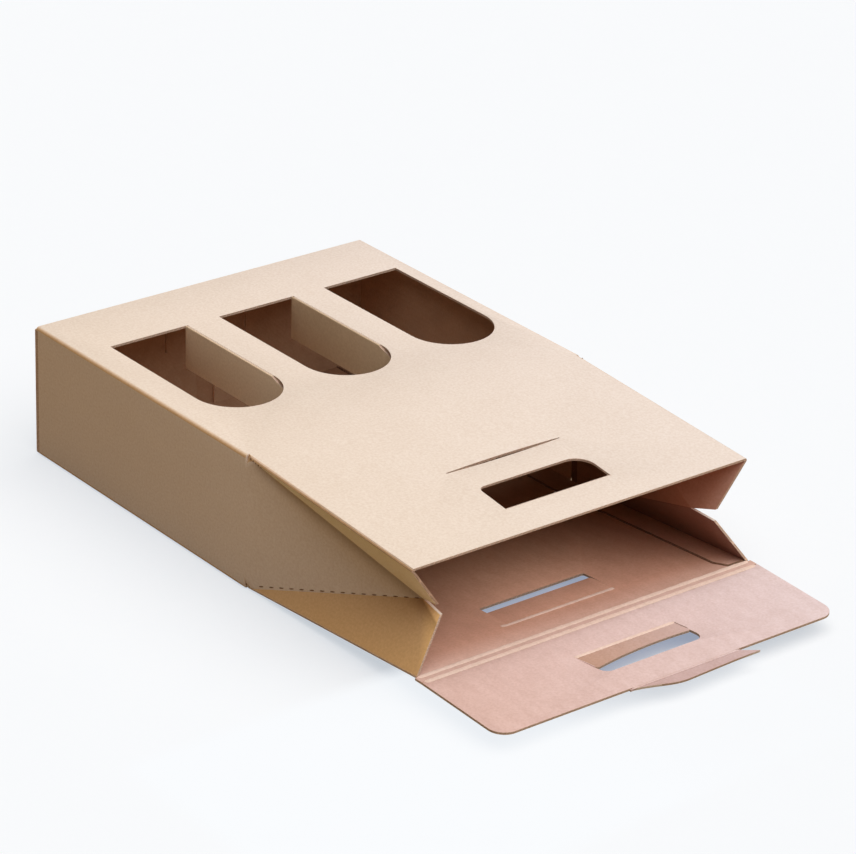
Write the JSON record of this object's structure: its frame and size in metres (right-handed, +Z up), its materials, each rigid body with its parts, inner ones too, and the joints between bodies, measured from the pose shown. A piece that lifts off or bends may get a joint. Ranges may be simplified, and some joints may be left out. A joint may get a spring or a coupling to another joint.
{
  "type": "bottle shipping box",
  "caption": "Flat corrugated carton for wine bottles, lying open: windows with divider flaps, hand holes, folded-in sides and a tuck closure flap.",
  "frame": {"origin": "centre of the flat part of the back panel's outer face, which rests on the floor", "axes": "+Y along the bottles towards the base, +Z up from the back panel to the windowed front panel, +X to the right seen from the mouth"},
  "size_m": [0.258, 0.4805, 0.089],
  "materials": {
    "carton_board": "matte kraft liner",
    "spine_board": "matte kraft liner",
    "closure_board": "matte kraft liner",
    "tab_board": "matte kraft liner",
    "closure_finger_board": "matte kraft liner",
    "front_finger_board": "matte kraft liner",
    "back_finger_board": "matte kraft liner",
    "divider_left_board": "matte kraft liner",
    "divider_middle_board": "matte kraft liner"
  },
  "bodies": {
    "carton": {"carton_body": "carton_board"},
    "spine": {"closure_spine": "spine_board"},
    "closure": {"closure_flap": "closure_board"},
    "tab": {"tuck_tab": "tab_board"},
    "closure_finger": {"closure_finger_flap": "closure_finger_board"},
    "front_finger": {"front_finger_flap": "front_finger_board"},
    "back_finger": {"back_finger_flap": "back_finger_board"},
    "divider_left": {"divider_flap_left": "divider_left_board"},
    "divider_middle": {"divider_flap_middle": "divider_middle_board"}
  },
  "joints": [
    {"name": "spine_crease", "type": "hinge", "parent": "carton", "child": "spine", "pos_m": [0, -0.28128, 0.01318], "axis": [-1, 0, 0], "range_deg": [0, 45]},
    {"name": "closure_crease", "type": "hinge", "parent": "spine", "child": "closure", "pos_m": [0, -0.28768, 0.01318], "axis": [-1, 0, 0], "range_deg": [-4, 50]},
    {"name": "tab_crease", "type": "hinge", "parent": "closure", "child": "tab", "pos_m": [0, -0.3588, 0.01095], "axis": [-1, 0, 0], "range_deg": [0, 100]},
    {"name": "closure_finger_crease", "type": "hinge", "parent": "closure", "child": "closure_finger", "pos_m": [0, -0.31342, 0.01238], "axis": [-1, 0, 0], "range_deg": [-2, 88]},
    {"name": "front_finger_crease", "type": "hinge", "parent": "carton", "child": "front_finger", "pos_m": [0, -0.2462, 0.08086], "axis": [-1, 0, 0], "range_deg": [-83, 14]},
    {"name": "back_finger_crease", "type": "hinge", "parent": "carton", "child": "back_finger", "pos_m": [0, -0.25889, 0.01152], "axis": [1, 0, 0], "range_deg": [-5, 92]},
    {"name": "divider_left_crease", "type": "hinge", "parent": "carton", "child": "divider_left", "pos_m": [-0.04945, 0, 0.08825], "axis": [0, 1, 0], "range_deg": [-10, 90]},
    {"name": "divider_middle_crease", "type": "hinge", "parent": "carton", "child": "divider_middle", "pos_m": [0.03385, 0, 0.08825], "axis": [0, 1, 0], "range_deg": [-10, 90]}
  ]
}
